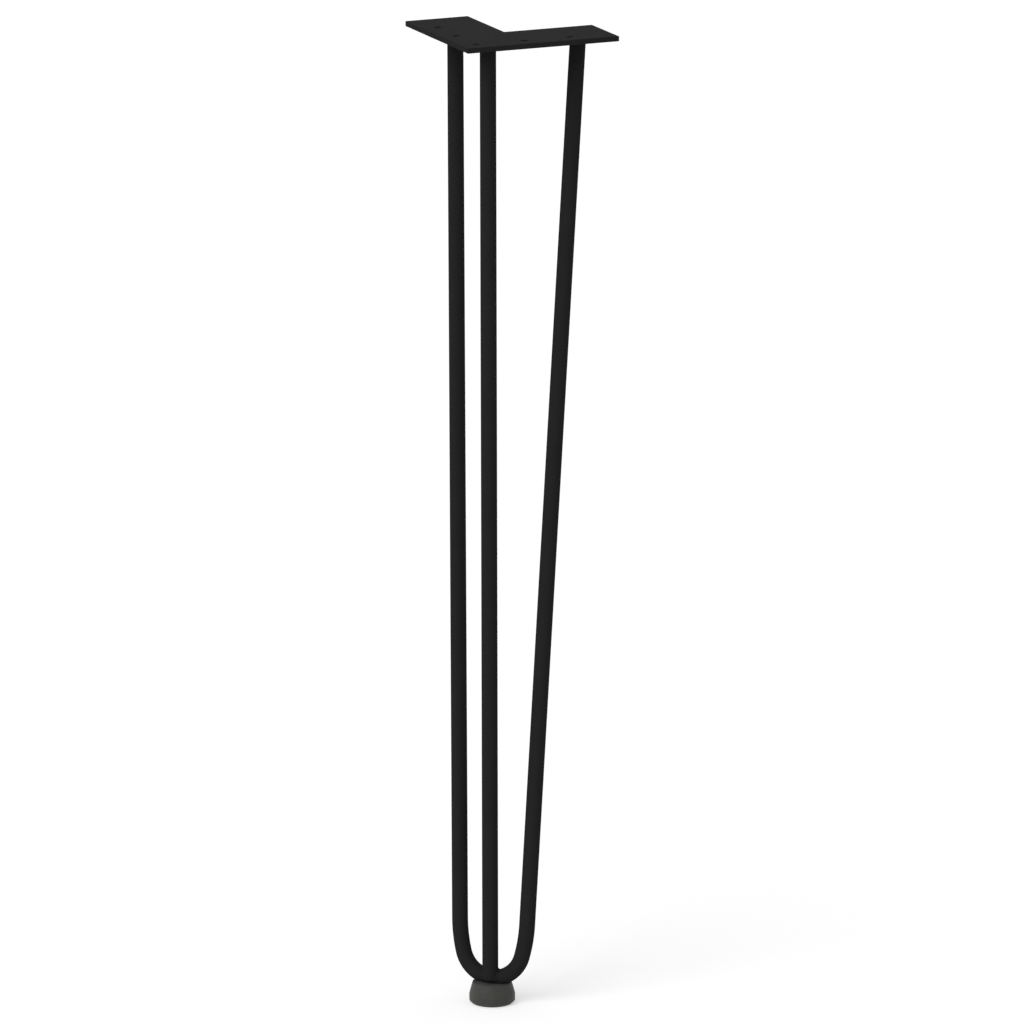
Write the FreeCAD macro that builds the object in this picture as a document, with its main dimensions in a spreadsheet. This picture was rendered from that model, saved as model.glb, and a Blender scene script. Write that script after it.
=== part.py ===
import FreeCAD, Part
import math
import os
from enum import IntEnum

import Sketcher
from FreeCAD import Placement, Rotation, Vector

# Hairpin table leg, in millimetres: an L-shaped mounting plate, one rod bent to a narrow U, a straight
# third rod and a rubber foot. The origin is the middle of the foot's underside, +Z is up and +Y runs along
# the plate's diagonal, from its outer corner towards the table's middle. The leg is the same on both
# sides of the YZ plane.

os.makedirs("parts", exist_ok=True)
doc = FreeCAD.newDocument("HairpinLeg")

# Driving sizes

sizes = {
    "leg_height": 734,  # floor to the top of the plate
    "arm_length": 120,  # outer edge of each arm of the plate
    "arm_width": 50,
    "plate_thickness": 4,
    "plate_edge_radius": 0.5,  # the cut edges, softened by the coating
    "screw_hole_diameter": 5.5,
    "screw_inset": 12,  # from the plate's outer edges to the screw holes, so a driver clears the foot
    "first_screw_reach": 50,  # from the other arm's outer edge
    "screw_spacing": 36,  # between the two holes of one arm
    "rod_diameter": 12,
    "rod_reach": 101,  # from the other arm's outer edge to a side rod
    "rod_inset": 32,  # from the arm's outer edge to its side rod
    "third_rod_inset": 27.3,  # from both outer edges, at the plate
    "third_rod_offset": 3.5,  # how far in front of the bend's middle the third rod lands
    "foot_inset": 26.5,  # from both outer edges to the foot's axis
    "bend_radius": 24.3,  # of the rod's centre line, round the foot
    "shoulder_radius": 115,  # of the gentle curve that leads each leg into the bend
    "shoulder_turn": 12.8,  # how far that curve turns, in degrees
    "weld_leg": 3,
    "bend_weld_leg": 1.5,
    "weld_toe": 0.8,  # a plate weld's width at its lower edge, and bare rod left below the bend's weld
    "foot_floor": 13,  # rubber under the bend
    "seat_depth": 3,  # how deep the bend lies in the rubber
    "foot_diameter": 34.4,
    "foot_rim_diameter": 29.4,
    "foot_band_top": 7,  # height where the foot starts to narrow
    "foot_base_chamfer": 2,
    "foot_rim_chamfer": 0.5,
}

sheet = doc.addObject("Spreadsheet::Sheet", "Sizes")
for row, (alias, value) in enumerate(sizes.items(), start=1):
    sheet.set(f"A{row}", alias)
    sheet.set(f"B{row}", str(value))
    sheet.setAlias(f"B{row}", alias)
doc.recompute()

# Sizes that follow from the driving ones. A side rod's place is given by its distance from the leg's
# middle plane and by its distance behind the foot's axis. Heights are taken from the floor.

followingSizes = {
    "diagonal": "sqrt(2)",
    "underside": "Sizes.leg_height - Sizes.plate_thickness",
    "rod_radius": "Sizes.rod_diameter / 2",
    "corner_y": "-Sizes.foot_inset * Layout.diagonal",
    "half_spread": "(Sizes.rod_reach - Sizes.rod_inset) / Layout.diagonal",
    "side_rod_y": "(Sizes.rod_reach + Sizes.rod_inset) / Layout.diagonal + Layout.corner_y",
    "third_rod_y": "Sizes.third_rod_inset * Layout.diagonal + Layout.corner_y",
    "bend_height": "Sizes.foot_floor + Layout.rod_radius",
    "rod_rise": "Layout.underside - Layout.bend_height",
    "foot_height": "Sizes.foot_floor + Sizes.seat_depth",
    "side_slant": "sqrt(Layout.rod_rise ^ 2 + Layout.side_rod_y ^ 2)",
    "side_lean": "atan2(Layout.side_rod_y; Layout.rod_rise) / 1deg",
    "third_run": "Layout.third_rod_y + Sizes.third_rod_offset",
    "third_slant": "sqrt(Layout.rod_rise ^ 2 + Layout.third_run ^ 2)",
    "third_lean": "atan2(Layout.third_run; Layout.rod_rise) / 1deg",
}

layout = doc.addObject("App::VarSet", "Layout")
for name, formula in followingSizes.items():
    layout.addProperty("App::PropertyFloat", name)
    layout.setExpression(name, formula.replace("Layout.", ""))
doc.recompute()


# Sketching


class Axis(IntEnum):
    """The numbers that a sketch gives its own axes. The horizontal one starts at the origin."""

    horizontal = -1
    vertical = -2


class At(IntEnum):
    """Which point of a line, arc or circle a constraint holds."""

    start = 1
    end = 2
    centre = 3


def originPlane(body, role):
    """One of the body's own three planes, such as XY_Plane."""
    return next(feature for feature in body.Origin.OriginFeatures if feature.Role == role)


def newSketch(body, name, role):
    sketch = body.newObject("Sketcher::SketchObject", name)
    sketch.AttachmentSupport = [(originPlane(body, role), "")]
    sketch.MapMode = "FlatFace"
    return sketch


def fix(sketch, kind, *places):
    """Adds a constraint that has no size."""
    return sketch.addConstraint(Sketcher.Constraint(kind, *places))


def measure(sketch, name, formula, kind, *places):
    """Adds a dimension that follows the formula."""
    value = sketch.evalExpression(formula)
    start = FreeCAD.Units.Quantity(f"{value} deg") if kind == "Angle" else value
    index = sketch.addConstraint(Sketcher.Constraint(kind, *places, start))
    sketch.renameConstraint(index, name)
    sketch.setExpression("Constraints." + name, formula)


def addOutline(sketch, points):
    """Adds a closed chain of straight lines and returns the number of the first."""
    corners = [Vector(x, y, 0) for x, y in points]
    lines = [
        sketch.addGeometry(Part.LineSegment(corner, corners[(place + 1) % len(corners)]))
        for place, corner in enumerate(corners)
    ]
    for line, following in zip(lines, lines[1:] + lines[:1]):
        fix(sketch, "Coincident", line, At.end, following, At.start)
    return lines[0]


# Mounting plate: drawn with its outer corner at the body's origin and its arms along X and Y, then turned
# so that the corner points to the front.


def makePlate():
    body = doc.addObject("PartDesign::Body", "mounting_plate")
    body.Placement = Placement(Vector(), Rotation(Vector(0, 0, 1), 45))
    body.setExpression("Placement.Base.y", "Layout.corner_y")
    body.setExpression("Placement.Base.z", "Layout.underside")

    outline = newSketch(body, "PlateOutline", "XY_Plane")
    reach = layout.evalExpression("Sizes.arm_length")
    width = layout.evalExpression("Sizes.arm_width")
    lower = addOutline(
        outline, [(0, 0), (reach, 0), (reach, width), (width, width), (width, reach), (0, reach)]
    )
    rightEnd, inner, innerLeft, leftEnd, left = range(lower + 1, lower + 6)
    for line in (lower, inner, leftEnd):
        fix(outline, "Horizontal", line)
    for line in (rightEnd, innerLeft, left):
        fix(outline, "Vertical", line)
    fix(outline, "Coincident", lower, At.start, Axis.horizontal, At.start)
    fix(outline, "Equal", lower, left)
    fix(outline, "Equal", rightEnd, leftEnd)
    measure(outline, "ArmLength", "Sizes.arm_length", "Distance", lower)
    measure(outline, "ArmWidth", "Sizes.arm_width", "Distance", rightEnd)

    pad = body.newObject("PartDesign::Pad", "PlatePad")
    pad.Profile = outline
    pad.setExpression("Length", "Sizes.plate_thickness")
    doc.recompute()

    rims = [
        f"Edge{place}"
        for place, edge in enumerate(pad.Shape.Edges, start=1)
        if edge.BoundBox.ZLength < sizes["plate_thickness"] / 2
    ]
    softened = body.newObject("PartDesign::Fillet", "PlateEdges")
    softened.Base = (pad, rims)
    softened.setExpression("Radius", "Sizes.plate_edge_radius")
    doc.recompute()

    screws = newSketch(body, "ScrewPlaces", "XY_Plane")
    near = "Sizes.screw_inset"
    first = "Sizes.first_screw_reach"
    second = "Sizes.first_screw_reach + Sizes.screw_spacing"
    places = [(near, near), (first, near), (second, near), (near, first), (near, second)]
    for number, (across, along) in enumerate(places):
        centre = Vector(layout.evalExpression(across), layout.evalExpression(along), 0)
        radius = layout.evalExpression("Sizes.screw_hole_diameter / 2")
        circle = screws.addGeometry(Part.Circle(centre, Vector(0, 0, 1), radius))
        ends = (Axis.horizontal, At.start, circle, At.centre)
        measure(screws, f"Across{number}", across, "DistanceX", *ends)
        measure(screws, f"Along{number}", along, "DistanceY", *ends)
        if number:
            fix(screws, "Equal", 0, circle)
        else:
            measure(screws, "HoleDiameter", "Sizes.screw_hole_diameter", "Diameter", circle)

    holes = body.newObject("PartDesign::Pocket", "ScrewHoles")
    holes.Profile = screws
    holes.Type = "ThroughAll"
    holes.Midplane = True
    doc.recompute()
    return body


# Rods: each is drawn in its own upright plane, then leaned back until its top lies under the plate.


def cutFlush(body, slant, lean):
    """Saws a leaning rod level with the plate's underside, slant along the body's Z from its origin."""
    sketch = newSketch(body, body.Name + "_saw", "YZ_Plane")
    height = layout.evalExpression(slant)
    reach = layout.evalExpression("Sizes.rod_diameter")
    top = height + 3 * reach
    lower = addOutline(sketch, [(-reach, height), (reach, height), (reach, top), (-reach, top)])
    right, upper, left = range(lower + 1, lower + 4)
    fix(sketch, "Vertical", left)
    fix(sketch, "Vertical", right)
    fix(sketch, "Horizontal", upper)
    measure(sketch, "Left", "Sizes.rod_diameter", "DistanceX", left, At.end, Axis.horizontal, At.start)
    measure(sketch, "Right", "Sizes.rod_diameter", "DistanceX", Axis.horizontal, At.start, right, At.start)
    measure(
        sketch, "Top", f"{slant} + 3 * Sizes.rod_diameter", "DistanceY",
        Axis.horizontal, At.start, upper, At.start,
    )
    middle = sketch.addGeometry(Part.Point(Vector(0, height, 0)), True)
    fix(sketch, "PointOnObject", middle, At.start, lower)
    fix(sketch, "PointOnObject", middle, At.start, Axis.vertical)
    measure(sketch, "Slant", slant, "DistanceY", Axis.horizontal, At.start, middle, At.start)
    measure(sketch, "Lean", lean, "Angle", lower)

    saw = body.newObject("PartDesign::Pocket", body.Name + "_flush_end")
    saw.Profile = sketch
    saw.Type = "ThroughAll"
    saw.Midplane = True
    doc.recompute()


def makeHairpin():
    body = doc.addObject("PartDesign::Body", "hairpin_rod")
    body.Placement = Placement(Vector(), Rotation(Vector(1, 0, 0), 1))
    body.setExpression("Placement.Base.z", "Layout.bend_height")
    body.setExpression("Placement.Rotation.Angle", "-Layout.side_lean")

    path = newSketch(body, "HairpinPath", "XZ_Plane")
    top = Vector(layout.half_spread, layout.side_slant, 0)
    bend, shoulder, leg = addHairpinCurves(path, top)
    weldPoint = path.addGeometry(Part.Point(top), True)
    fix(path, "Coincident", bend, At.start, Axis.horizontal, At.start)
    fix(path, "PointOnObject", bend, At.centre, Axis.vertical)
    measure(path, "BendRadius", "Sizes.bend_radius", "Radius", bend)
    fix(path, "Tangent", bend, At.end, shoulder, At.start)
    measure(path, "ShoulderRadius", "Sizes.shoulder_radius", "Radius", shoulder)
    measure(path, "ShoulderTurn", "Sizes.shoulder_turn", "Angle", shoulder)
    fix(path, "Tangent", shoulder, At.end, leg, At.start)
    measure(path, "HalfSpread", "Layout.half_spread", "DistanceX",
            Axis.horizontal, At.start, weldPoint, At.start)
    measure(path, "Slant", "Layout.side_slant", "DistanceY",
            Axis.horizontal, At.start, weldPoint, At.start)
    fix(path, "PointOnObject", weldPoint, At.start, leg)
    measure(path, "Length", "Layout.side_slant + Sizes.rod_diameter", "DistanceY",
            Axis.horizontal, At.start, leg, At.end)

    section = newSketch(body, "HairpinSection", "YZ_Plane")
    addRodCircle(section)

    half = body.newObject("PartDesign::AdditivePipe", "HairpinHalf")
    half.Profile = section
    half.Spine = (path, [f"Edge{curve + 1}" for curve in (bend, shoulder, leg)])
    doc.recompute()

    whole = body.newObject("PartDesign::Mirrored", "HairpinMirrored")
    whole.Originals = [half]
    whole.MirrorPlane = (originPlane(body, "YZ_Plane"), [""])
    body.Tip = whole
    doc.recompute()
    cutFlush(body, "Layout.side_slant", "Layout.side_lean")
    return body


def addHairpinCurves(path, top):
    """Draws half of the hairpin, from the middle of its bend: the bend, its shoulder and the straight leg."""
    radius = layout.evalExpression("Sizes.bend_radius")
    shoulderRadius = layout.evalExpression("Sizes.shoulder_radius")
    shoulderTurn = math.radians(layout.evalExpression("Sizes.shoulder_turn"))
    legTurn = math.atan2(top.y, top.x - radius)
    bendTurn = legTurn - shoulderTurn
    bendCentre = Vector(0, radius, 0)
    bendEnd = bendCentre + Vector(math.sin(bendTurn), -math.cos(bendTurn), 0) * radius
    shoulderCentre = bendEnd - Vector(math.sin(bendTurn), -math.cos(bendTurn), 0) * shoulderRadius
    legStart = shoulderCentre + Vector(math.sin(legTurn), -math.cos(legTurn), 0) * shoulderRadius

    bendCircle = Part.Circle(bendCentre, Vector(0, 0, 1), radius)
    shoulderCircle = Part.Circle(shoulderCentre, Vector(0, 0, 1), shoulderRadius)
    down = -math.pi / 2
    return [
        path.addGeometry(Part.ArcOfCircle(bendCircle, down, down + bendTurn)),
        path.addGeometry(Part.ArcOfCircle(shoulderCircle, down + bendTurn, down + legTurn)),
        path.addGeometry(Part.LineSegment(legStart, top)),
    ]


def addRodCircle(sketch):
    radius = layout.rod_radius
    circle = sketch.addGeometry(Part.Circle(Vector(), Vector(0, 0, 1), radius))
    fix(sketch, "Coincident", circle, At.centre, Axis.horizontal, At.start)
    measure(sketch, "RodDiameter", "Sizes.rod_diameter", "Diameter", circle)


def makeThirdRod(hairpin):
    """A straight bar, and the rod that is left once its lower end is coped to sit on the bend."""
    body = doc.addObject("PartDesign::Body", "third_rod_bar")
    placeOnThirdRod(body, "0")
    section = newSketch(body, "ThirdRodSection", "XY_Plane")
    addRodCircle(section)
    bar = body.newObject("PartDesign::Pad", "ThirdRodPad")
    bar.Profile = section
    bar.setExpression("Length", "Layout.third_slant + Sizes.rod_diameter")
    doc.recompute()
    cutFlush(body, "Layout.third_slant", "Layout.third_lean")
    return body, cut("third_rod", body, hairpin)


def placeOnThirdRod(item, along):
    """Puts a body or a solid on the third rod's axis, this far along it from the rod's lower end."""
    item.Placement = Placement(Vector(), Rotation(Vector(1, 0, 0), 1))
    item.setExpression(
        "Placement.Base.y", f"-Sizes.third_rod_offset + {along} * sin(Layout.third_lean * 1deg)"
    )
    item.setExpression("Placement.Base.z", f"Layout.bend_height + {along} * cos(Layout.third_lean * 1deg)")
    item.setExpression("Placement.Rotation.Angle", "-Layout.third_lean")


def cut(name, base, *tools):
    """Cuts the tools away from the base, one after another. The last result takes the name."""
    result = base
    for number, tool in enumerate(tools, start=1):
        last = number == len(tools)
        step = doc.addObject("Part::Cut", name if last else f"{name}_step_{number}")
        step.Base = result
        step.Tool = tool
        result = step
    return result


# Welds


def makePlateWeld(name, rod, x, y):
    """A fillet weld round a rod's top end: a ring that widens towards the plate."""
    bead = doc.addObject("Part::Cone", name + "_bead")
    bead.setExpression("Radius1", "Layout.rod_radius + Sizes.weld_toe")
    bead.setExpression("Radius2", "Layout.rod_radius + Sizes.weld_leg")
    bead.setExpression("Height", "Sizes.weld_leg")
    bead.setExpression("Placement.Base.x", x)
    bead.setExpression("Placement.Base.y", y)
    bead.setExpression("Placement.Base.z", "Layout.underside - Sizes.weld_leg")
    return cut(name, bead, rod)


def makeBendWeld(hairpin, bar):
    """The weld in the corner between the bend and the third rod: all that lies within a weld leg of both."""
    aroundBend = doc.addObject("Part::Torus", "bend_weld_along_bend")
    aroundBend.setExpression("Radius1", "Sizes.bend_radius")
    aroundBend.setExpression("Radius2", "Layout.rod_radius + Sizes.bend_weld_leg")
    aroundBend.Angle3 = 180
    aroundBend.Placement = Placement(Vector(), Rotation(Vector(1, 0, 0), -90))
    aroundBend.setExpression("Placement.Base.y", "Sizes.bend_radius * sin(Layout.side_lean * 1deg)")
    aroundBend.setExpression(
        "Placement.Base.z", "Layout.bend_height + Sizes.bend_radius * cos(Layout.side_lean * 1deg)"
    )
    aroundBend.setExpression("Placement.Rotation.Angle", "-90 - Layout.side_lean")

    aroundRod = doc.addObject("Part::Cylinder", "bend_weld_along_rod")
    placeOnThirdRod(aroundRod, "Sizes.weld_toe")
    aroundRod.setExpression("Radius", "Layout.rod_radius + Sizes.bend_weld_leg")
    aroundRod.setExpression("Height", "2 * Sizes.rod_diameter")

    both = doc.addObject("Part::Common", "bend_weld_filled")
    both.Base = aroundBend
    both.Tool = aroundRod
    return cut("bend_weld", both, hairpin, bar)


# Rubber foot


def makeFoot(hairpin):
    """A turned cap that narrows to its rim, with a seat pressed in by the bend."""
    body = doc.addObject("PartDesign::Body", "rubber_foot_blank")
    profile = newSketch(body, "FootProfile", "XZ_Plane")
    base = layout.evalExpression("Sizes.foot_diameter / 2")
    rim = layout.evalExpression("Sizes.foot_rim_diameter / 2")
    bandTop = layout.evalExpression("Sizes.foot_band_top")
    top = layout.foot_height
    floor = addOutline(profile, [(0, 0), (base, 0), (base, bandTop), (rim, top), (0, top)])
    band, slope, upper, axis = range(floor + 1, floor + 5)
    fix(profile, "Horizontal", floor)
    fix(profile, "Vertical", band)
    fix(profile, "Horizontal", upper)
    fix(profile, "Vertical", axis)
    fix(profile, "Coincident", floor, At.start, Axis.horizontal, At.start)
    measure(profile, "BaseRadius", "Sizes.foot_diameter / 2", "Distance", floor)
    measure(profile, "RimRadius", "Sizes.foot_rim_diameter / 2", "Distance", upper)
    measure(profile, "BandTop", "Sizes.foot_band_top", "Distance", band)
    measure(profile, "Height", "Layout.foot_height", "Distance", axis)

    turned = body.newObject("PartDesign::Revolution", "FootTurned")
    turned.Profile = profile
    turned.ReferenceAxis = (profile, ["V_Axis"])
    turned.Angle = 360
    doc.recompute()
    lowered = bevelRim(body, turned, "FootBaseEdge", "Sizes.foot_base_chamfer", 0)
    bevelRim(body, lowered, "FootRimEdge", "Sizes.foot_rim_chamfer", top)
    return cut("rubber_foot", body, hairpin)


def bevelRim(body, base, name, size, height):
    """Takes the sharpness off the circular edge at this height."""
    flat = 0.01
    rims = [
        f"Edge{place}"
        for place, edge in enumerate(base.Shape.Edges, start=1)
        if edge.BoundBox.ZLength < flat and abs(edge.BoundBox.ZMin - height) < flat
    ]
    bevelled = body.newObject("PartDesign::Chamfer", name)
    bevelled.Base = (base, rims)
    bevelled.setExpression("Size", size)
    doc.recompute()
    return bevelled


plate = makePlate()
hairpin = makeHairpin()
bar, thirdRod = makeThirdRod(hairpin)
beads = [
    makePlateWeld("left_weld", hairpin, "-Layout.half_spread", "Layout.side_rod_y"),
    makePlateWeld("right_weld", hairpin, "Layout.half_spread", "Layout.side_rod_y"),
    makePlateWeld("front_weld", thirdRod, "0", "Layout.third_rod_y"),
    makeBendWeld(hairpin, bar),
]
welds = doc.addObject("Part::Compound", "weld_beads")
welds.Links = beads
foot = makeFoot(hairpin)
doc.recompute()

# Checks, then one file for each piece

solidCounts = {plate: 1, hairpin: 1, thirdRod: 1, welds: len(beads), foot: 1}
for item in doc.Objects:
    if {"Invalid", "Error"} & set(item.State):
        raise RuntimeError(f"{item.Name} failed: {item.State}")
for piece, count in solidCounts.items():
    if piece.Shape.isNull() or not piece.Shape.isValid() or len(piece.Shape.Solids) != count:
        raise RuntimeError(f"{piece.Name} should hold this many valid solids: {count}")
for piece in solidCounts:
    piece.Label = piece.Name
    piece.Shape.exportStep(f"parts/{piece.Label}.step")
    print(piece.Label, round(piece.Shape.Volume, 1), "mm3")
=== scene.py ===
import math

import bmesh
import bpy
from mathutils import Matrix, Vector


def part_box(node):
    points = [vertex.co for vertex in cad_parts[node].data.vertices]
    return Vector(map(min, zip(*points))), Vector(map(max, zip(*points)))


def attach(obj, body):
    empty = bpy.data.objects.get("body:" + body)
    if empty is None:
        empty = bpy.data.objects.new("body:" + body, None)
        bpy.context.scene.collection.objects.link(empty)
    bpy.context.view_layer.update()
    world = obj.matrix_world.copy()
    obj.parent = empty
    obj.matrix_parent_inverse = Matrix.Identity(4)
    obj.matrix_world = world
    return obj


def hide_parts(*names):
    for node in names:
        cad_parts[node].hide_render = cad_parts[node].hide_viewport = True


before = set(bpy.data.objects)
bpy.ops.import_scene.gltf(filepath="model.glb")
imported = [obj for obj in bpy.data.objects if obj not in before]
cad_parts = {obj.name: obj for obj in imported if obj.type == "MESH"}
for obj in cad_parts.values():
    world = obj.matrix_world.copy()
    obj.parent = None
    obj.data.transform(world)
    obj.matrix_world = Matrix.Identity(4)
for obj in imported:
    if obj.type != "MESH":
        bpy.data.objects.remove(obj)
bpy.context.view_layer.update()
scene = bpy.context.scene
mm = 0.001
touching = 0.001 * mm  # points closer than this are merged
print("frame loaded:", ", ".join(sorted(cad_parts)))


# Node trees

class Wire:
    # an output socket that can be added, multiplied and so on with other sockets, numbers and vectors
    def __init__(self, bench, socket):
        self.bench = bench
        self.socket = socket

    def other(self, name):
        return Wire(self.bench, self.bench.find(self.socket.node.outputs, name))

    def __add__(self, value):
        return self.bench.maths("ADD", self, value)

    def __radd__(self, value):
        return self.bench.maths("ADD", value, self)

    def __sub__(self, value):
        return self.bench.maths("SUBTRACT", self, value)

    def __rsub__(self, value):
        return self.bench.maths("SUBTRACT", value, self)

    def __mul__(self, value):
        return self.bench.maths("MULTIPLY", self, value)

    def __rmul__(self, value):
        return self.bench.maths("MULTIPLY", value, self)

    def __truediv__(self, value):
        return self.bench.maths("DIVIDE", self, value)

    def __rtruediv__(self, value):
        return self.bench.maths("DIVIDE", value, self)

    def __gt__(self, value):
        return self.bench.maths("GREATER_THAN", self, value)


class Bench:
    # a node tree under construction
    spacing = 180  # between nodes, so that the tree can be read in the node editor

    def __init__(self, tree):
        self.tree = tree

    def find(self, sockets, name):
        if isinstance(name, int):
            return sockets[name]
        return next(socket for socket in sockets if socket.enabled and socket.name == name)

    def node(self, kind, settings=None, sockets=None):
        made = self.tree.nodes.new(kind)
        made.location = (self.spacing * len(self.tree.nodes), 0)
        for name, value in (settings or {}).items():
            setattr(made, name, value)
        for name, value in (sockets or {}).items():
            target = self.find(made.inputs, name)
            if isinstance(value, Wire):
                self.tree.links.new(value.socket, target)
            else:
                target.default_value = value
        shown = [socket for socket in made.outputs if socket.enabled]
        return Wire(self, shown[0]) if shown else made

    def maths(self, operation, *values):
        wires = [value for value in values if isinstance(value, Wire)]
        hasVector = any(wire.socket.type == "VECTOR" for wire in wires)
        kind = "ShaderNodeVectorMath" if hasVector else "ShaderNodeMath"
        if hasVector:
            values = [(value,) * 3 if isinstance(value, (int, float)) else value for value in values]
        return self.node(kind, {"operation": operation}, dict(enumerate(values)))

    def split(self, vector):
        parts = self.node("ShaderNodeSeparateXYZ", {}, {0: vector})
        return parts, parts.other("Y"), parts.other("Z")

    def hypotenuse(self, first, second):
        return self.maths("SQRT", first * first + second * second)

    def vector(self, x=0.0, y=0.0, z=0.0):
        return self.node("ShaderNodeCombineXYZ", {}, {"X": x, "Y": y, "Z": z})

    def store(self, geometry, name, value, kind="FLOAT", domain="POINT"):
        settings = {"data_type": kind, "domain": domain}
        return self.node("GeometryNodeStoreNamedAttribute", settings,
                         {"Geometry": geometry, "Name": name, "Value": value})

    def recall(self, name, kind="FLOAT"):
        return self.node("GeometryNodeInputNamedAttribute", {"data_type": kind}, {"Name": name})

    def join(self, first, second):
        both = self.node("GeometryNodeJoinGeometry", {}, {"Geometry": first})
        self.tree.links.new(second.socket, both.socket.node.inputs["Geometry"])
        return both


def geometryBench(name, inputs):
    tree = bpy.data.node_groups.new(name, "GeometryNodeTree")
    labels = {"Geometry": "Geometry", **inputs, "Finish": "Material"}
    for label, kind in labels.items():
        tree.interface.new_socket(label, in_out="INPUT", socket_type="NodeSocket" + kind)
    tree.interface.new_socket("Geometry", in_out="OUTPUT", socket_type="NodeSocketGeometry")
    bench = Bench(tree)
    start = bench.node("NodeGroupInput")
    return bench, {label: start.other(label) for label in labels}


def closeTree(bench, given, geometry, sharpAngle=math.radians(40)):
    # smooth faces with sharp creases, no instances left, one material
    smooth = bench.node("GeometryNodeSetShadeSmooth", {"domain": "FACE"},
                        {"Geometry": geometry, "Shade Smooth": True})
    crease = bench.node("GeometryNodeInputMeshEdgeAngle") > sharpAngle
    creased = bench.node("GeometryNodeSetShadeSmooth", {"domain": "EDGE"},
                         {"Geometry": smooth, "Selection": crease, "Shade Smooth": False})
    real = bench.node("GeometryNodeRealizeInstances", {}, {"Geometry": creased})
    finished = bench.node("GeometryNodeSetMaterial", {}, {"Geometry": real, "Material": given["Finish"]})
    bench.node("NodeGroupOutput", {}, {"Geometry": finished})
    return bench.tree


def addTree(host, tree, values):
    modifier = host.modifiers.new(tree.name, "NODES")
    modifier.node_group = tree
    for item in tree.interface.items_tree:
        if item.in_out == "INPUT" and item.name in values:
            modifier[item.identifier] = values[item.name]


# Objects

def linkObject(name, data):
    made = bpy.data.objects.new(name, data)
    scene.collection.objects.link(made)
    return made


def settle(host, name):
    # what the host's modifiers give becomes a plain mesh piece
    graph = bpy.context.evaluated_depsgraph_get()
    mesh = bpy.data.meshes.new_from_object(
        host.evaluated_get(graph), preserve_all_data_layers=True, depsgraph=graph)
    bpy.data.objects.remove(host)
    for slot in reversed(range(len(mesh.materials))):
        if not mesh.materials[slot]:
            mesh.materials.pop(index=slot)  # some trees leave an empty slot before the finish
    mesh.name = name
    return linkObject(name, mesh)


def creaseByAngle(piece, angle):
    shaped = bmesh.new()
    shaped.from_mesh(piece.data)
    for edge in shaped.edges:
        edge.smooth = edge.calc_face_angle(0) < angle
    shaped.to_mesh(piece.data)
    shaped.free()


def trim(piece, cutter, sharpAngle=math.radians(20)):
    modifier = piece.modifiers.new("Trim", "BOOLEAN")
    modifier.operation = "DIFFERENCE"
    modifier.solver = "EXACT"
    modifier.object = cutter
    trimmed = settle(piece, piece.name)
    creaseByAngle(trimmed, sharpAngle)  # the cut's own edges come out unmarked
    return trimmed


def turned(name, profile, steps):
    # a solid of revolution round Z, from a profile that starts and ends on the axis
    shaped = bmesh.new()
    points = [shaped.verts.new((point.x, 0, point.y)) for point in profile]
    edges = [shaped.edges.new(pair) for pair in zip(points, points[1:])]
    bmesh.ops.spin(
        shaped, geom=points + edges, angle=2 * math.pi, steps=steps, axis=(0, 0, 1), cent=(0, 0, 0))
    bmesh.ops.remove_doubles(shaped, verts=shaped.verts, dist=touching)
    bmesh.ops.recalc_face_normals(shaped, faces=shaped.faces)
    for face in shaped.faces:
        face.smooth = True
    mesh = bpy.data.meshes.new(name)
    shaped.to_mesh(mesh)
    shaped.free()
    return linkObject(name, mesh)


def standFor(piece, node):
    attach(piece, "root")
    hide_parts(node)
    piece.data.calc_loop_triangles()
    print(f"{piece.name} stands for {node}: {len(piece.data.loop_triangles)} triangles")


# The leg's own layout, in the frame's axes

plateLow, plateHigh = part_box("mounting_plate")
footLow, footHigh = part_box("rubber_foot")
plateUnder = plateLow.z
outerCorner = Vector((0, plateLow.y, 0))
bendHeight = 19 * mm  # middle of the rod at the lowest point of its bend


def armPoint(alongRight, alongLeft):
    # a point given by how far it lies along the plate's right and left outer edges
    diagonal = math.sqrt(0.5)
    return outerCorner + Vector((alongRight - alongLeft, alongRight + alongLeft, 0)) * diagonal


def gapToBend(bench, place, bottom, bendRadius, up, across, rodRadius):
    # how far a place lies from the bend's surface; up and across are the bend's own directions
    fromBottom = place - bottom
    sideways = bench.split(fromBottom)[0]
    upPlane = bench.maths("DOT_PRODUCT", fromBottom, up).other("Value")
    offPlane = bench.maths("DOT_PRODUCT", fromBottom, across).other("Value")
    offArc = bench.hypotenuse(sideways, upPlane - bendRadius) - bendRadius
    return bench.hypotenuse(offArc, offPlane) - rodRadius


# Finishes

def newMaterial(name):
    material = bpy.data.materials.new(name)
    material.use_nodes = True
    material.node_tree.nodes.clear()
    return material, Bench(material.node_tree)


def noise(bench, place, scale, detail=2.0, roughness=0.5):
    return bench.node("ShaderNodeTexNoise", {"noise_dimensions": "3D"},
                      {"Vector": place, "Scale": scale, "Detail": detail, "Roughness": roughness})


def blendColours(bench, factor, first, second):
    return bench.node("ShaderNodeMix", {"data_type": "RGBA"}, {"Factor": factor, "A": first, "B": second})


def finishSurface(bench, colour, roughness, height, depth, gloss, sheen=0.0):
    normal = bench.node("ShaderNodeBump", {}, {"Height": height, "Distance": depth, "Strength": 1.0})
    shader = bench.node("ShaderNodeBsdfPrincipled", {}, {
        "Base Color": colour, "Roughness": roughness, "Normal": normal, "Specular IOR Level": gloss,
        "Sheen Weight": sheen})
    bench.node("ShaderNodeOutputMaterial", {}, {"Surface": shader})


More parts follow.
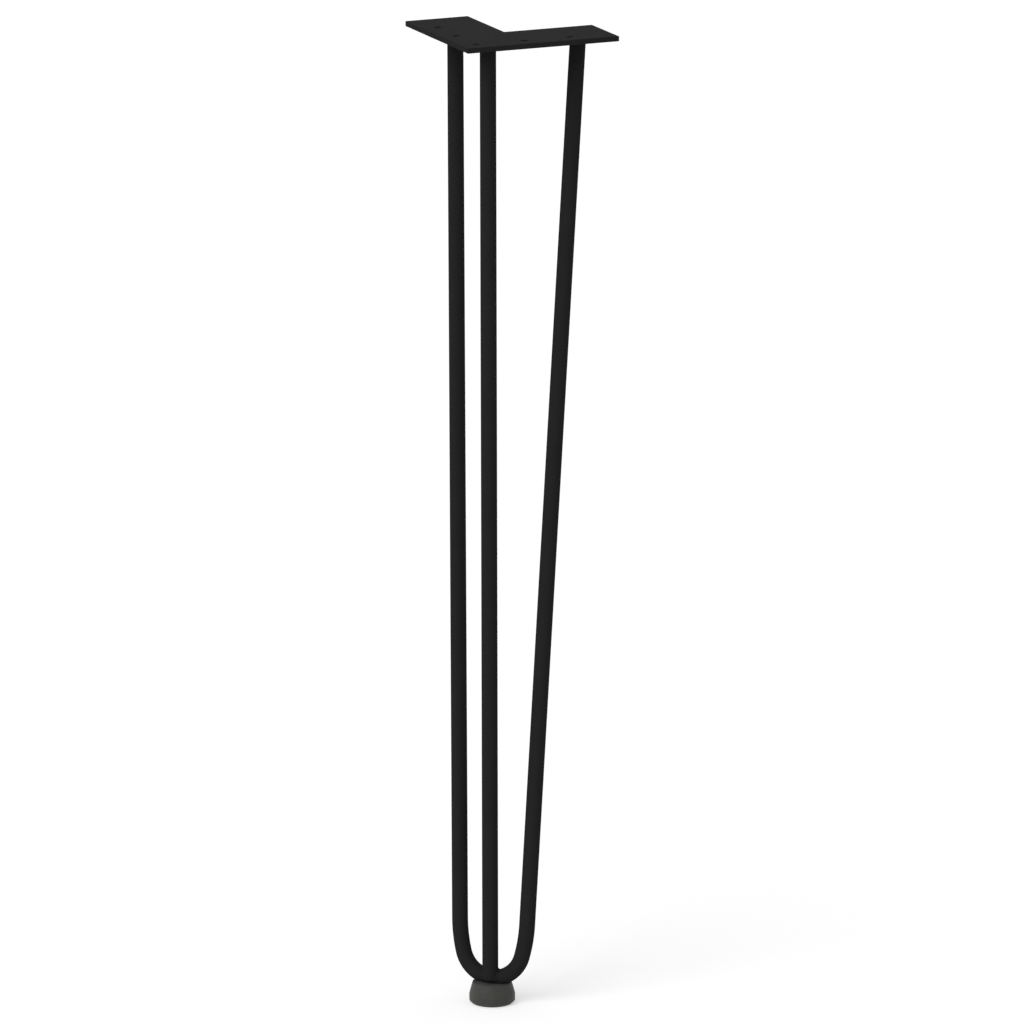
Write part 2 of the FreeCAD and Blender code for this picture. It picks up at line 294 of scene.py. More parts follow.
coat = {
    "dark": (0.0175, 0.0175, 0.0178, 1),
    "light": (0.0300, 0.0300, 0.0303, 1),
    "tone": 0.3,  # from dark to light, before flecks and drift
    "fleck": 1.6,
    "drift": 0.4,
    "roughness": 0.58,
    "grainRoughness": 0.10,
    "driftRoughness": 0.08,
    "gloss": 0.006,
    "depth": 0.07 * mm,  # of its orange peel and grain together
    "peelShare": 0.6,  # of that depth
    "peelScale": 520,  # cells to a metre, as every scale here
    "grainScale": 2800,
    "driftScale": 45,
    "drawnDepth": 0.2,  # of the lines on the rods, against the peel and grain
    "drawnScale": (900.0, 900.0, 9.0),
    "cutDepth": 0.5,  # of the lines on the plate's sides
    "cutScale": (1900.0, 1900.0, 90.0),
}


def powderCoat(name, place="Object", underCoat=None):
    # satin black powder coat: orange peel over a fine grain, on metal whose own marks show through faintly
    material, bench = newMaterial(name)
    if place == "Object":
        spot = bench.node("ShaderNodeTexCoord").other("Object")
    else:
        spot = bench.node("ShaderNodeAttribute", {"attribute_name": place}).other("Vector")
    peel = noise(bench, spot, coat["peelScale"], detail=1.5)
    grain = noise(bench, spot, coat["grainScale"], detail=3.0, roughness=0.6)
    drift = noise(bench, spot, coat["driftScale"], detail=4.0, roughness=0.55)
    height = peel * coat["peelShare"] + grain * (1 - coat["peelShare"])
    if underCoat:
        height = height + underCoat(bench, spot)
    tone = (grain - 0.5) * coat["fleck"] + drift * coat["drift"] + coat["tone"]
    colour = blendColours(bench, tone, coat["dark"], coat["light"])
    roughness = coat["roughness"] + grain * coat["grainRoughness"] + drift * coat["driftRoughness"]
    finishSurface(bench, colour, roughness, height, coat["depth"], coat["gloss"])
    return material


def drawnBar(bench, spot):
    # long faint lines left by drawing the bar, which run along the rod
    return noise(bench, spot * coat["drawnScale"], 1.0) * coat["drawnDepth"]


def cutEdge(bench, spot):
    # the plate's cut sides keep fine upright lines under the coat
    upright = bench.split(bench.node("ShaderNodeNewGeometry").other("True Normal"))[2]
    side = 1 - bench.maths("ABSOLUTE", upright)
    return noise(bench, spot * coat["cutScale"], 1.0) * side * coat["cutDepth"]


bentRodCoat = powderCoat("bentRodPowderCoat", "rodSpace", drawnBar)
straightRodCoat = powderCoat("straightRodPowderCoat", "Object", drawnBar)
plateCoat = powderCoat("platePowderCoat", "Object", cutEdge)
weldCoat = powderCoat("weldPowderCoat")
print("powder coats mixed")


# Hairpin rod: one bar bent into a narrow U, its ends cut flush under the plate

hairpin = {
    "diameter": 12 * mm,
    "bendRadius": 24.3 * mm,  # at the middle of the bar, round the foot
    "shoulderRadius": 115 * mm,  # the slacker curve between the bend and each straight leg
    "shoulderTurn": math.radians(12.8),
    "endReach": 101 * mm,  # along the arm's outer edge
    "endInset": 32 * mm,  # in from that edge
    "steps": 56,  # along each stretch of its path
    "sides": 96,
}


def rodTree():
    bench, given = geometryBench("Rod along a path", {
        "Diameter": "Float", "Sides": "Int", "Flush Height": "Float", "Flush Band": "Float"})
    length = bench.node("GeometryNodeSplineParameter").other("Length")
    path = bench.store(given["Geometry"], "alongRod", length)
    path = bench.store(path, "rodDirection", bench.node("GeometryNodeInputTangent"), "FLOAT_VECTOR")
    ring = bench.node("GeometryNodeCurvePrimitiveCircle", {},
                      {"Resolution": given["Sides"], "Radius": given["Diameter"] * 0.5})
    place = bench.node("GeometryNodeInputPosition")
    ring = bench.store(ring, "acrossRod", place, "FLOAT_VECTOR")
    tube = bench.node("GeometryNodeCurveToMesh", {},
                      {"Curve": path, "Profile Curve": ring, "Fill Caps": True})

    # the end rings slide along the bar on to the plate's underside
    height = bench.split(place)[2]
    direction = bench.recall("rodDirection", "FLOAT_VECTOR")
    slide = direction * ((given["Flush Height"] - height) / bench.split(direction)[2])
    nearEnd = height > given["Flush Height"] - given["Flush Band"]
    tube = bench.node("GeometryNodeSetPosition", {},
                      {"Geometry": tube, "Selection": nearEnd, "Offset": slide})
    unrolled = bench.recall("acrossRod", "FLOAT_VECTOR") + bench.vector(z=bench.recall("alongRod"))
    tube = bench.store(tube, "rodSpace", unrolled, "FLOAT_VECTOR")
    return closeTree(bench, given, tube)


sweepRod = rodTree()


def bezierPath(name, knots, steps):
    # each knot is the handle before a point, the point, and the handle after it
    curve = bpy.data.curves.new(name, "CURVE")
    curve.dimensions = "3D"
    curve.resolution_u = steps
    spline = curve.splines.new("BEZIER")
    spline.bezier_points.add(len(knots) - 1)
    for knot, (before, point, after) in zip(spline.bezier_points, knots):
        knot.handle_left_type = knot.handle_right_type = "FREE"
        knot.handle_left, knot.co, knot.handle_right = before, point, after
    return linkObject(name, curve)


def sweptRod(name, knots, bar, finish):
    flushBand = 0.15 * bar["diameter"]  # a ring this near the plate belongs to the bar's cut end
    host = bezierPath(name + "Path", knots, bar["steps"])
    addTree(host, sweepRod, {
        "Diameter": bar["diameter"], "Sides": bar["sides"], "Flush Height": plateUnder,
        "Flush Band": flushBand, "Finish": finish})
    return settle(host, name)


def arcEnd(start, radius, turnBefore, turnAfter):
    # where an arc that begins at one heading has turned to the next, left of the way it goes
    sweep = Vector((math.sin(turnAfter) - math.sin(turnBefore), math.cos(turnBefore) - math.cos(turnAfter)))
    return start + sweep * radius


def hairpinKnots():
    # worked out in the hairpin's own leaning plane, from the bottom of the bend up its right leg
    end = armPoint(hairpin["endReach"], hairpin["endInset"])
    rise = plateUnder - bendHeight
    lean = math.atan2(end.y, rise)
    bottom, top = Vector((0, 0)), Vector((end.x, math.hypot(end.y, rise)))
    tight, slack = hairpin["bendRadius"], hairpin["shoulderRadius"]
    legTurn = math.pi / 2
    rounds = 20  # more than the leg's heading needs to settle
    for attempt in range(rounds):
        bendTurn = legTurn - hairpin["shoulderTurn"]
        bendEnd = arcEnd(bottom, tight, 0, bendTurn)
        legStart = arcEnd(bendEnd, slack, bendTurn, legTurn)
        toTop = top - legStart
        legTurn = math.atan2(toTop.y, toTop.x)

    # handles of these lengths make each curve an arc
    bendArm = 4 / 3 * math.tan(bendTurn / 4) * tight
    slackArm = 4 / 3 * math.tan(hairpin["shoulderTurn"] / 4) * slack
    third = toTop.length / 3
    legHeading, bendHeading = (Vector((math.cos(turn), math.sin(turn))) for turn in (legTurn, bendTurn))
    sideways = Vector((bendArm, 0))
    right = [
        (bendEnd - bendHeading * bendArm, bendEnd, bendEnd + bendHeading * slackArm),
        (legStart - legHeading * slackArm, legStart, legStart + legHeading * third),
        (top - legHeading * third, top, top + legHeading * third),
    ]

    def inLeg(point, mirror=1):
        x, along = point
        return Vector((mirror * x, along * math.sin(lean), bendHeight + along * math.cos(lean)))

    left = [tuple(inLeg(point, -1) for point in reversed(knot)) for knot in reversed(right)]
    middle = tuple(inLeg(point) for point in (bottom - sideways, bottom, bottom + sideways))
    return left + [middle] + [tuple(inLeg(point) for point in knot) for knot in right]


hairpinPath = hairpinKnots()
bendBottom = Vector((0, 0, bendHeight))
legStart = hairpinPath[-2][1]
bendUp = Vector((0, legStart.y, legStart.z - bendHeight)).normalized()
hairpinRod = sweptRod("hairpinRod", hairpinPath, hairpin, bentRodCoat)
standFor(hairpinRod, "hairpin_rod")


# Third rod: straight from the plate's corner down to the front of the bend, where it is coped to fit

thirdBar = {
    "diameter": 12 * mm,
    "inset": 27.3 * mm,  # from both outer edges of the plate
    "forward": 3.5 * mm,  # how far its foot stands in front of the bend's middle
    "steps": 24,
    "sides": 96,
}
thirdFoot = Vector((0, -thirdBar["forward"], bendHeight))
thirdTop = armPoint(thirdBar["inset"], thirdBar["inset"]) + Vector((0, 0, plateUnder))


def straightKnots(start, end):
    third = (end - start) / 3
    return [(start - third, start, start + third), (end - third, end, end + third)]


thirdRod = sweptRod("thirdRod", straightKnots(thirdFoot, thirdTop), thirdBar, straightRodCoat)
thirdRod = trim(thirdRod, hairpinRod)
standFor(thirdRod, "third_rod")


# Mounting plate: an L of flat bar with screw holes, its rims softened

plate = {
    "armLength": 120 * mm,
    "armWidth": 50 * mm,
    "rimRadius": 0.5 * mm,
    "rimSteps": 5,
    "cornerShare": 0.3,  # the upright corners are this much of the rim's radius
    "holeRimRadius": 0.3 * mm,
    "holeDiameter": 5.5 * mm,
    "holeInset": 12 * mm,
    "firstReach": 50 * mm,
    "holeSpacing": 36 * mm,
    "holesAnArm": 2,
    "holeSides": 72,
}


def slabTree():
    bench, given = geometryBench("Slab from an outline", {
        "Thickness": "Float", "Underside": "Float", "Upright Edge": "Float"})
    face = bench.node("GeometryNodeFillCurve", {"mode": "NGONS"}, {"Curve": given["Geometry"]})
    face = bench.node("GeometryNodeTransform", {}, {
        "Geometry": face, "Translation": bench.vector(z=given["Underside"])})
    raised = bench.node("GeometryNodeExtrudeMesh", {"mode": "FACES"}, {
        "Mesh": face, "Offset": (0, 0, 1), "Offset Scale": given["Thickness"], "Individual": False})
    under = bench.node("GeometryNodeFlipFaces", {}, {"Mesh": face})
    slab = bench.join(raised, under)
    slab = bench.node("GeometryNodeMergeByDistance", {}, {"Geometry": slab, "Distance": touching})

    # how much each edge is softened: the rims fully, the upright corners less
    ends = bench.node("GeometryNodeInputMeshEdgeVertices")
    rise = bench.split(ends.other("Position 1") - ends.other("Position 2"))[2]
    isUpright = bench.maths("ABSOLUTE", rise) > given["Thickness"] * 0.5
    slab = bench.store(slab, "bevel_weight_edge", isUpright * given["Upright Edge"] + (1 - isUpright),
                       "FLOAT", "EDGE")
    return closeTree(bench, given, slab)


def drillTree():
    bench, given = geometryBench("Screw holes", {
        "Drill": "Object", "Hole Inset": "Float", "First Reach": "Float", "Hole Spacing": "Float",
        "Holes An Arm": "Int", "Corner": "Vector"})
    inset, alongArm = given["Hole Inset"], (0, 0, math.pi / 4)
    armHoles = bench.node("GeometryNodeMeshLine", {"mode": "OFFSET"}, {
        "Count": given["Holes An Arm"], "Start Location": bench.vector(given["First Reach"], inset),
        "Offset": bench.vector(given["Hole Spacing"])})
    cornerHole = bench.node("GeometryNodeMeshLine", {"mode": "OFFSET"}, {
        "Count": 1, "Start Location": bench.vector(inset, inset)})
    rightRow = bench.join(armHoles, cornerHole)
    rightRow = bench.node("GeometryNodeTransform", {}, {"Geometry": rightRow, "Rotation": alongArm})
    leftRow = bench.node("GeometryNodeTransform", {}, {"Geometry": armHoles, "Rotation": alongArm})
    leftRow = bench.node("GeometryNodeTransform", {}, {"Geometry": leftRow, "Scale": (-1, 1, 1)})
    rows = bench.join(rightRow, leftRow)
    centres = bench.node("GeometryNodeTransform", {}, {"Geometry": rows, "Translation": given["Corner"]})

    drill = bench.node("GeometryNodeObjectInfo", {"transform_space": "ORIGINAL"}, {"Object": given["Drill"]})
    drills = bench.node("GeometryNodeInstanceOnPoints", {}, {
        "Points": centres, "Instance": drill.other("Geometry")})
    drills = bench.node("GeometryNodeRealizeInstances", {}, {"Geometry": drills})
    drilled = bench.node("GeometryNodeMeshBoolean", {"operation": "DIFFERENCE", "solver": "EXACT"}, {
        "Mesh 1": given["Geometry"], "Mesh 2": drills})
    return closeTree(bench, given, drilled)


def plateOutline():
    length, width = plate["armLength"], plate["armWidth"]
    corners = [(0, 0), (length, 0), (length, width), (width, width), (width, length), (0, length)]
    curve = bpy.data.curves.new("plateOutline", "CURVE")
    curve.dimensions = "3D"
    spline = curve.splines.new("POLY")
    spline.points.add(len(corners) - 1)
    for point, corner in zip(spline.points, corners):
        point.co = (*armPoint(*corner), 1)
    spline.use_cyclic_u = True
    return linkObject("plateOutline", curve)


def drillShape():
    # what a hole with softened rims takes out of the plate, standing on the plate's underside
    radius, soft, steps = plate["holeDiameter"] / 2, plate["holeRimRadius"], plate["rimSteps"]
    thickness = plateHigh.z - plateUnder
    flare = []
    for step in range(steps):
        angle = math.pi / 2 * step / steps
        outward, downward = soft * (1 - math.cos(angle)), soft * (1 - math.sin(angle))
        flare.append(Vector((radius + outward, thickness - downward)))
    slope = Vector((math.sin(angle), math.cos(angle)))
    clear = soft * 2
    beyond = flare[-1] + slope * (clear / slope.y)  # the last slope goes on, clear of the plate's top
    upper = flare + [beyond, Vector((0, beyond.y))]
    lower = [Vector((point.x, thickness - point.y)) for point in reversed(upper)]
    return turned("drill", lower + upper, plate["holeSides"])


def softenRims(slab):
    bevel = slab.modifiers.new("Rims", "BEVEL")
    bevel.limit_method = "WEIGHT"
    bevel.width = plate["rimRadius"]
    bevel.segments = plate["rimSteps"]


def shadeFlatFaces(piece):
    # only what the softening rounded off is shaded smooth
    slack = 0.0001
    for face in piece.data.polygons:
        facing, askew = abs(face.normal.z), abs(abs(face.normal.x) - abs(face.normal.y))
        isSide = facing < slack and askew < slack
        face.use_smooth = not (facing > 1 - slack or isSide)


plateHost = plateOutline()
addTree(plateHost, slabTree(), {
    "Thickness": plateHigh.z - plateUnder, "Underside": plateUnder, "Upright Edge": plate["cornerShare"],
    "Finish": plateCoat})
softenRims(plateHost)
drill = drillShape()
addTree(plateHost, drillTree(), {
    "Drill": drill, "Hole Inset": plate["holeInset"], "First Reach": plate["firstReach"],
    "Hole Spacing": plate["holeSpacing"], "Holes An Arm": plate["holesAnArm"],
    "Corner": outerCorner + Vector((0, 0, plateUnder)), "Finish": plateCoat})
mountingPlate = settle(plateHost, "mountingPlate")
bpy.data.objects.remove(drill)
shadeFlatFaces(mountingPlate)
standFor(mountingPlate, "mounting_plate")


# Welds: a rippled fillet round each rod end under the plate, and one in the corner of the bend

welds = {
    "leg": 3 * mm,  # of the fillet, along the plate and along the rod
    "sink": 0.25 * mm,  # how far the bead melts into plate and rod
    "flatness": 0.16,  # how far its face falls short of a round one in the middle, as a share of the leg
    "ripples": 44,
    "rippleDepth": 0.16 * mm,
    "rippleBow": 0.55,  # how far a ripple runs ahead in the middle of the face, in ripples
    "unevenness": 0.35 * mm,
    "unevenScale": 1.4,
    "steps": 528,
    "faceSteps": 14,
    "bendLeg": 1.15 * mm,
    "bendFullness": 1.35,  # 1 is a flat-faced fillet and 2 a round one
    "bendRipple": 1.2 * mm,
    "bendRippleDepth": 0.28 * mm,
    "bendRippleBow": 0.5,
    "bendUnevenness": 0.2 * mm,
    "bendUnevenScale": 420,
    "bendGrain": 0.2 * mm,  # how finely its surface is worked out
    "roomBelow": Vector((10, 9, 4)) * mm,  # the box round the third rod's foot that it is worked out in
    "roomAbove": Vector((10, 9, 11)) * mm,
    "seeds": {"leftWeld": 1.3, "rightWeld": 4.7, "frontWeld": 8.2, "bendWeld": 0.35},
}


def scallop(bench, phase):
    # round-backed ripples from 0 to 1, with a sharp valley between them
    part = bench.maths("FRACT", phase)
    return part * (1 - part) * 4


def plateWeldTree():
    bench, given = geometryBench("Fillet weld round a rod", {
        "Rod End": "Vector", "Rod Slope": "Vector", "Rod Radius": "Float", "Leg": "Float", "Sink": "Float",
        "Ripples": "Float", "Ripple Depth": "Float", "Unevenness": "Float", "Steps": "Int",
        "Face Steps": "Int", "Seed": "Float"})
    place = bench.node("GeometryNodeInputPosition")
    turns = bench.node("GeometryNodeSplineParameter")
    ring = bench.node("GeometryNodeCurvePrimitiveCircle", {},
                      {"Resolution": given["Steps"], "Radius": given["Rod Radius"]})
    ring = bench.store(ring, "weldTurn", turns)
    wedge = bench.node("GeometryNodeCurveArc", {"mode": "RADIUS"}, {
        "Resolution": given["Face Steps"], "Radius": 1.0, "Start Angle": 0.0, "Sweep Angle": math.pi / 2,
        "Connect Center": True})
    wedge = bench.store(wedge, "weldFace", place, "FLOAT_VECTOR")
    small = bench.node("GeometryNodeTransform", {}, {"Geometry": wedge, "Scale": (mm, mm, mm)})
    bead = bench.node("GeometryNodeCurveToMesh", {}, {"Curve": ring, "Profile Curve": small})

    # the wedge is laid out again from the turn round the rod and the place on the weld's face
    turn = bench.recall("weldTurn")
    face = bench.recall("weldFace", "FLOAT_VECTOR")
    outward, downward = bench.split(face)[:2]
    angle = turn * (2 * math.pi)
    around = bench.vector(bench.maths("COSINE", angle), bench.maths("SINE", angle))
    middle = outward * downward * 2  # 1 in the middle of the face and 0 at its edges
    drift = around * welds["unevenScale"] + given["Seed"]
    wander = noise(bench, drift, 1.0, detail=3.0, roughness=0.6) - 0.5
    wave = scallop(bench, turn * given["Ripples"] + given["Seed"] - middle * welds["rippleBow"])
    size = given["Leg"] * (1 - middle * welds["flatness"]) + wander * given["Unevenness"]
    size = size + wave * given["Ripple Depth"] * middle
    out = outward * size - given["Sink"]
    down = downward * size - given["Sink"]
    centre = given["Rod End"] - given["Rod Slope"] * down
    where = centre + around * (given["Rod Radius"] + out)
    bead = bench.node("GeometryNodeSetPosition", {}, {"Geometry": bead, "Position": where})
    return closeTree(bench, given, bead, sharpAngle=math.radians(62))


def bendWeldTree():
    # filler in the corner between the bend and the third rod, wherever it is near enough to both
    bench, given = geometryBench("Bead where a rod meets a bend", {
        "Low Corner": "Vector", "High Corner": "Vector", "Grain": "Float", "Rod Radius": "Float",
        "Bend Bottom": "Vector", "Bend Radius": "Float", "Bend Up": "Vector", "Rod End": "Vector",
        "Rod Up": "Vector", "Leg": "Float", "Sink": "Float", "Fullness": "Float", "Ripple Length": "Float",
        "Ripple Depth": "Float", "Unevenness": "Float", "Seed": "Float"})
    place = bench.node("GeometryNodeInputPosition")
    across = bench.maths("CROSS_PRODUCT", given["Bend Up"], (1, 0, 0))
    bendGap = gapToBend(bench, place, given["Bend Bottom"], given["Bend Radius"], given["Bend Up"], across,
                        given["Rod Radius"])

    # out from the third rod's surface, its flat end included
    fromEnd = place - given["Rod End"]
    alongRod = bench.maths("DOT_PRODUCT", fromEnd, given["Rod Up"]).other("Value")
    radial = fromEnd - given["Rod Up"] * alongRod
    sideGap = bench.maths("LENGTH", radial).other("Value") - given["Rod Radius"]
    endGap = alongRod * -1
    outside = bench.hypotenuse(bench.maths("MAXIMUM", sideGap, 0.0), bench.maths("MAXIMUM", endGap, 0.0))
    inside = bench.maths("MINIMUM", bench.maths("MAXIMUM", sideGap, endGap), 0.0)
    rodGap = outside + inside

    # a full fillet, rippled along the way it runs
    overRod = bench.maths("MAXIMUM", rodGap + given["Sink"], 0.0)
    overBend = bench.maths("MAXIMUM", bendGap + given["Sink"], 0.0)
    least = 0.01 * mm  # so that nothing is divided by 0
    total = bench.maths("MAXIMUM", overRod + overBend, least)
    middle = overRod * overBend * 4 / (total * total)  # 1 in the middle of the face and 0 at its edges
    x, y = bench.split(radial)[:2]
    turn = bench.maths("ABSOLUTE", bench.maths("ARCTAN2", x, y))
    run = turn * given["Rod Radius"] - alongRod
    wave = scallop(bench, run / given["Ripple Length"] + given["Seed"] - middle * welds["bendRippleBow"])
    wander = noise(bench, place * welds["bendUnevenScale"] + given["Seed"], 1.0) - 0.5
    size = given["Leg"] + given["Sink"] + wave * middle * given["Ripple Depth"]
    size = size + wander * given["Unevenness"]
    full = given["Fullness"]
    powers = bench.maths("POWER", overRod, full) + bench.maths("POWER", overBend, full)
    filled = size - bench.maths("POWER", powers, 1 / full)
    filled = bench.maths("MINIMUM", filled, rodGap + given["Sink"])
    filled = bench.maths("MINIMUM", filled, bendGap + given["Sink"])

    span = given["High Corner"] - given["Low Corner"]
    counts = [bench.maths("ROUND", part) for part in bench.split(span / given["Grain"])]
    level = 10.0  # the density at the bead's surface
    cloud = bench.node("GeometryNodeVolumeCube", {}, {
        "Density": bench.maths("MAXIMUM", filled / mm + level, 0.0), "Background": 0.0,
        "Min": given["Low Corner"], "Max": given["High Corner"], "Resolution X": counts[0],
        "Resolution Y": counts[1], "Resolution Z": counts[2]})
    bead = bench.node("GeometryNodeVolumeToMesh", {}, {"Volume": cloud, "Threshold": level})
    return closeTree(bench, given, bead, sharpAngle=math.radians(75))


def emptyHost(name):
    return linkObject(name, bpy.data.meshes.new(name))


def plateWeld(tree, name, end, towards):
    direction = (end - towards).normalized()
    host = emptyHost(name)
    addTree(host, tree, {
        "Rod End": end, "Rod Slope": direction / direction.z, "Rod Radius": hairpin["diameter"] / 2,
        "Leg": welds["leg"], "Sink": welds["sink"], "Ripples": float(welds["ripples"]),
        "Ripple Depth": welds["rippleDepth"], "Unevenness": welds["unevenness"], "Steps": welds["steps"],
        "Face Steps": welds["faceSteps"], "Seed": welds["seeds"][name], "Finish": weldCoat})
    return settle(host, name)


def bendWeld(name):
    host = emptyHost(name)
    addTree(host, bendWeldTree(), {
        "Low Corner": thirdFoot - welds["roomBelow"], "High Corner": thirdFoot + welds["roomAbove"],
        "Grain": welds["bendGrain"], "Rod Radius": thirdBar["diameter"] / 2, "Bend Bottom": bendBottom,
        "Bend Radius": hairpin["bendRadius"], "Bend Up": bendUp, "Rod End": thirdFoot,
        "Rod Up": (thirdTop - thirdFoot).normalized(), "Leg": welds["bendLeg"], "Sink": welds["sink"],
        "Fullness": welds["bendFullness"], "Ripple Length": welds["bendRipple"],
        "Ripple Depth": welds["bendRippleDepth"], "Unevenness": welds["bendUnevenness"],
        "Seed": welds["seeds"][name], "Finish": weldCoat})
    return settle(host, name)


def joinPieces(name, parts):
    merged = bmesh.new()
    for part in parts:
        merged.from_mesh(part.data)
    bmesh.ops.recalc_face_normals(merged, faces=merged.faces)
    mesh = bpy.data.meshes.new(name)
    merged.to_mesh(mesh)
    merged.free()
    mesh.materials.append(parts[0].data.materials[0])
    for part in parts:
        bpy.data.objects.remove(part)
    return linkObject(name, mesh)


weldAround = plateWeldTree()
leftEnd, rightEnd = hairpinPath[0][1], hairpinPath[-1][1]
leftBelow, rightBelow = hairpinPath[1][1], hairpinPath[-2][1]
weldBeads = joinPieces("weldBeads", [
    plateWeld(weldAround, "leftWeld", leftEnd, leftBelow),
    plateWeld(weldAround, "rightWeld", rightEnd, rightBelow),
    plateWeld(weldAround, "frontWeld", thirdTop, thirdFoot),
    bendWeld("bendWeld"),
])
standFor(weldBeads, "weld_beads")


# Rubber foot: a turned cap that narrows to its rim, with the bend pressed into its top

foot = {
    "bandTop": 7 * mm,
    "rimRadius": 14.7 * mm,
    "baseChamfer": 2 * mm,
    "softness": 0.45 * mm,  # radius on its moulded edges
    "steps": 160,
    "arcSteps": 5,
    "dark": (0.026, 0.0275, 0.023, 1),
    "light": (0.048, 0.0495, 0.042, 1),
    "paintedShade": (0.012, 0.012, 0.011, 1),  # painted shade on its top round the bend
    "paintedShadeReach": 12 * mm,  # how far that painted shade reaches out from the bend
    "speckle": 1.2,
    "roughness": 0.68,
    "grainRoughness": 0.14,
    "gloss": 0.50,
    "sheen": 0.10,
    "depth": 0.08 * mm,  # of its grain and pores together
    "grainShare": 0.6,  # of that depth
    "grainScale": 3200,  # cells to a metre, as every scale here
    "poreScale": 900,
    "mottleScale": 120,
}


def rubber():
    material, bench = newMaterial("footRubber")
    spot = bench.node("ShaderNodeTexCoord").other("Object")
    grain = noise(bench, spot, foot["grainScale"], detail=3.0, roughness=0.6)
    pores = noise(bench, spot, foot["poreScale"])
    mottle = noise(bench, spot, foot["mottleScale"], detail=4.0, roughness=0.6)
    colour = blendColours(bench, (pores - 0.5) * foot["speckle"] + mottle, foot["dark"], foot["light"])

    # painted shade: darker round the bend, on the faces that look up
    gap = gapToBend(bench, spot, bendBottom, hairpin["bendRadius"], bendUp, bendUp.cross((1, 0, 0)),
                    hairpin["diameter"] / 2)
    shadeNearBend = bench.node("ShaderNodeMapRange", {"interpolation_type": "SMOOTHSTEP"}, {
        "Value": gap, "From Min": 0.0, "From Max": foot["paintedShadeReach"], "To Min": 1.0, "To Max": 0.0})
    facing = bench.split(bench.node("ShaderNodeNewGeometry").other("True Normal"))[2]
    colour = blendColours(bench, shadeNearBend * (facing > 0.5), colour, foot["paintedShade"])
    roughness = foot["roughness"] + grain * foot["grainRoughness"]
    height = grain * foot["grainShare"] + pores * (1 - foot["grainShare"])
    finishSurface(bench, colour, roughness, height, foot["depth"], foot["gloss"], foot["sheen"])
    return material


def softCorner(before, corner, after, radius, steps):
    # an arc in place of a corner of the profile
    toBefore = (before - corner).normalized()
    toAfter = (after - corner).normalized()
    half = toBefore.angle(toAfter) / 2
    cut = radius / math.tan(half)
    centre = corner + (toBefore + toAfter).normalized() * (radius / math.sin(half))
    start, end = corner + toBefore * cut - centre, corner + toAfter * cut - centre
    return [centre + start.slerp(end, step / steps).normalized() * radius for step in range(steps + 1)]


def footProfile():
    base, height = footHigh.x, footHigh.z
    chamfer = foot["baseChamfer"]
    corners = [Vector(corner) for corner in (
        (0, 0), (base - chamfer, 0), (base, chamfer), (base, foot["bandTop"]), (foot["rimRadius"], height),
        (0, height))]
    profile = [corners[0]]
    for before, corner, after in zip(corners, corners[1:], corners[2:]):
        profile += softCorner(before, corner, after, foot["softness"], foot["arcSteps"])
    return profile + [corners[-1]]


rubberFoot = turned("rubberFoot", footProfile(), foot["steps"])
rubberFoot.data.materials.append(rubber())
rubberFoot = trim(rubberFoot, hairpinRod)
standFor(rubberFoot, "rubber_foot")


# Floor, light and camera

studio = {
    "skyStrength": 0.36,
    "floorTone": 0.80,
    "floorLift": 0.45,  # shown to the camera and to glossy surfaces, so that the open floor is white
    "floorHalf": 14.0,
    "keyFrom": (-0.98, -2.30, 1.95),  # the direction that the soft light comes from
    "keyStrength": 1.29,
    "keySpread": math.radians(40),
    "topFrom": (-0.2, 0.3, 2.6),
    "topStrength": 0.35,
    "topSpread": math.radians(60),
}
photoCamera = {
    "aim": Vector((7.35, 25.67, 373.43)) * mm,
    "azimuth": math.radians(22.189),
    "elevation": math.radians(13.869),
    "roll": math.radians(-0.256),
    "distance": 6.256,
    "lens": 296.05,  # mm, on Blender's usual 36 mm sensor
    "sight": 100,  # how far it sees, in metres
}
white = (1, 1, 1, 1)


def seenDirectly(bench):
    path = bench.node("ShaderNodeLightPath")
    seen = bench.maths("MAXIMUM", path.other("Is Camera Ray"), path.other("Is Glossy Ray"))
    return bench.maths("MAXIMUM", seen, path.other("Is Transmission Ray"))


def skyLight():
    world = bpy.data.worlds.new("studio")
    world.use_nodes = True
    world.node_tree.nodes.clear()
    bench = Bench(world.node_tree)
    light = bench.node("ShaderNodeBackground", {}, {"Color": white, "Strength": studio["skyStrength"]})
    backdrop = bench.node("ShaderNodeBackground", {}, {"Color": white, "Strength": 1.0})
    mixed = bench.node("ShaderNodeMixShader", {}, {0: seenDirectly(bench), 1: light, 2: backdrop})
    bench.node("ShaderNodeOutputWorld", {}, {"Surface": mixed})
    scene.world = world


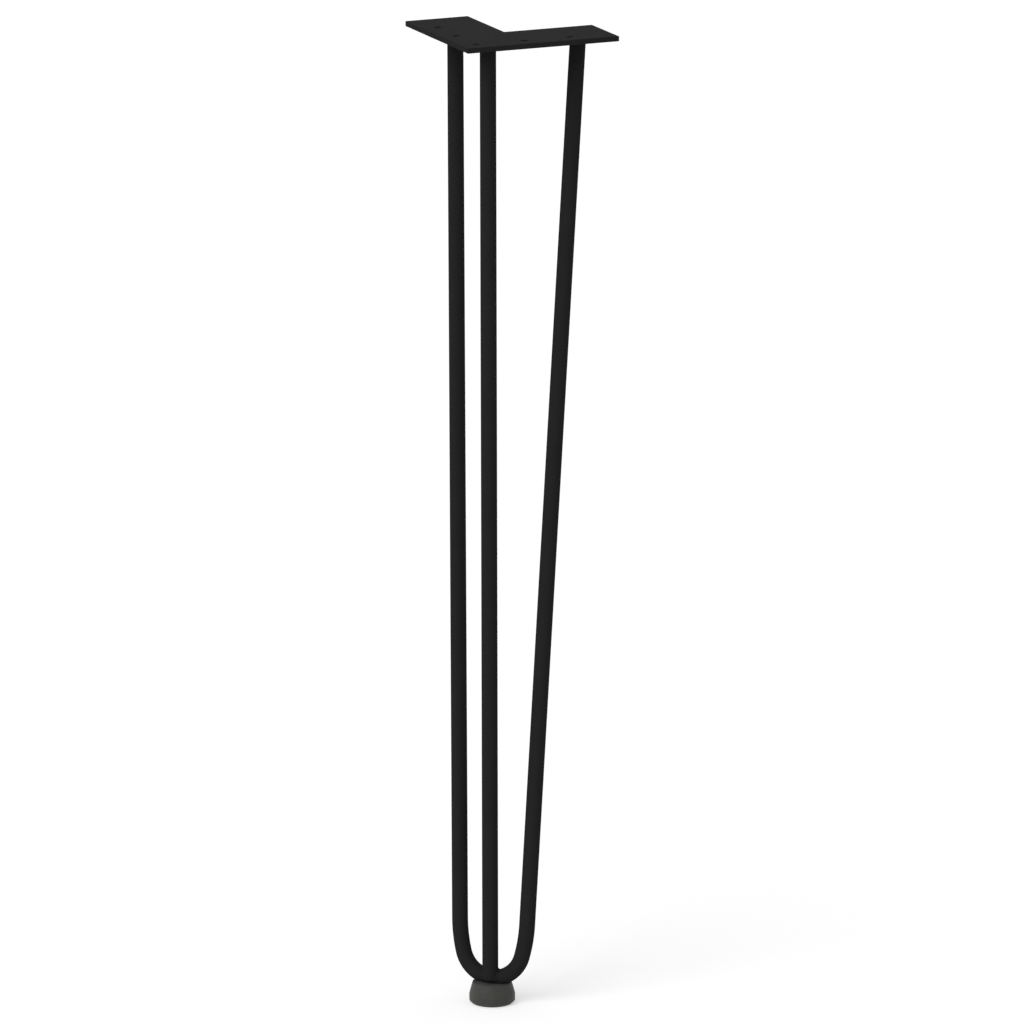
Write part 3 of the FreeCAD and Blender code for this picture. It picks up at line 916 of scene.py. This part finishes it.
def paleFloor():
    half = studio["floorHalf"]
    mesh = bpy.data.meshes.new("floor")
    corners = [(-half, -half, 0), (half, -half, 0), (half, half, 0), (-half, half, 0)]
    mesh.from_pydata(corners, [], [(0, 1, 2, 3)])
    material, bench = newMaterial("paleFloor")
    tone = studio["floorTone"]
    paint = bench.node("ShaderNodeBsdfDiffuse", {}, {"Color": (tone, tone, tone, 1)})
    lift = bench.node("ShaderNodeEmission", {}, {"Color": white, "Strength": studio["floorLift"]})
    lifted = bench.node("ShaderNodeAddShader", {}, {0: paint, 1: lift})
    shown = bench.node("ShaderNodeMixShader", {}, {0: seenDirectly(bench), 1: paint, 2: lifted})
    clear = bench.node("ShaderNodeBsdfTransparent")
    isUnder = bench.node("ShaderNodeNewGeometry").other("Backfacing")  # from below, the floor isn't there
    oneSided = bench.node("ShaderNodeMixShader", {}, {0: isUnder, 1: shown, 2: clear})
    bench.node("ShaderNodeOutputMaterial", {}, {"Surface": oneSided})
    mesh.materials.append(material)
    linkObject("floor", mesh)


def softLight(name, comesFrom, strength, spread):
    light = bpy.data.lights.new(name, "SUN")
    light.energy = strength
    light.angle = spread
    lamp = linkObject(name, light)
    lamp.rotation_euler = Vector(comesFrom).to_track_quat("Z", "Y").to_euler()


def photoView():
    around, above = photoCamera["azimuth"], photoCamera["elevation"]
    back = Vector((math.sin(around) * math.cos(above), -math.cos(around) * math.cos(above), math.sin(above)))
    data = bpy.data.cameras.new("photoCamera")
    data.lens = photoCamera["lens"]
    data.clip_end = photoCamera["sight"]
    camera = linkObject("photoCamera", data)
    facing = back.to_track_quat("Z", "Y").to_matrix().to_4x4() @ Matrix.Rotation(photoCamera["roll"], 4, "Z")
    camera.matrix_world = Matrix.Translation(photoCamera["aim"] + back * photoCamera["distance"]) @ facing
    scene.camera = camera


skyLight()
paleFloor()
softLight("keyLight", studio["keyFrom"], studio["keyStrength"], studio["keySpread"])
softLight("topLight", studio["topFrom"], studio["topStrength"], studio["topSpread"])
photoView()
scene.view_settings.view_transform = "Standard"
print("studio set")
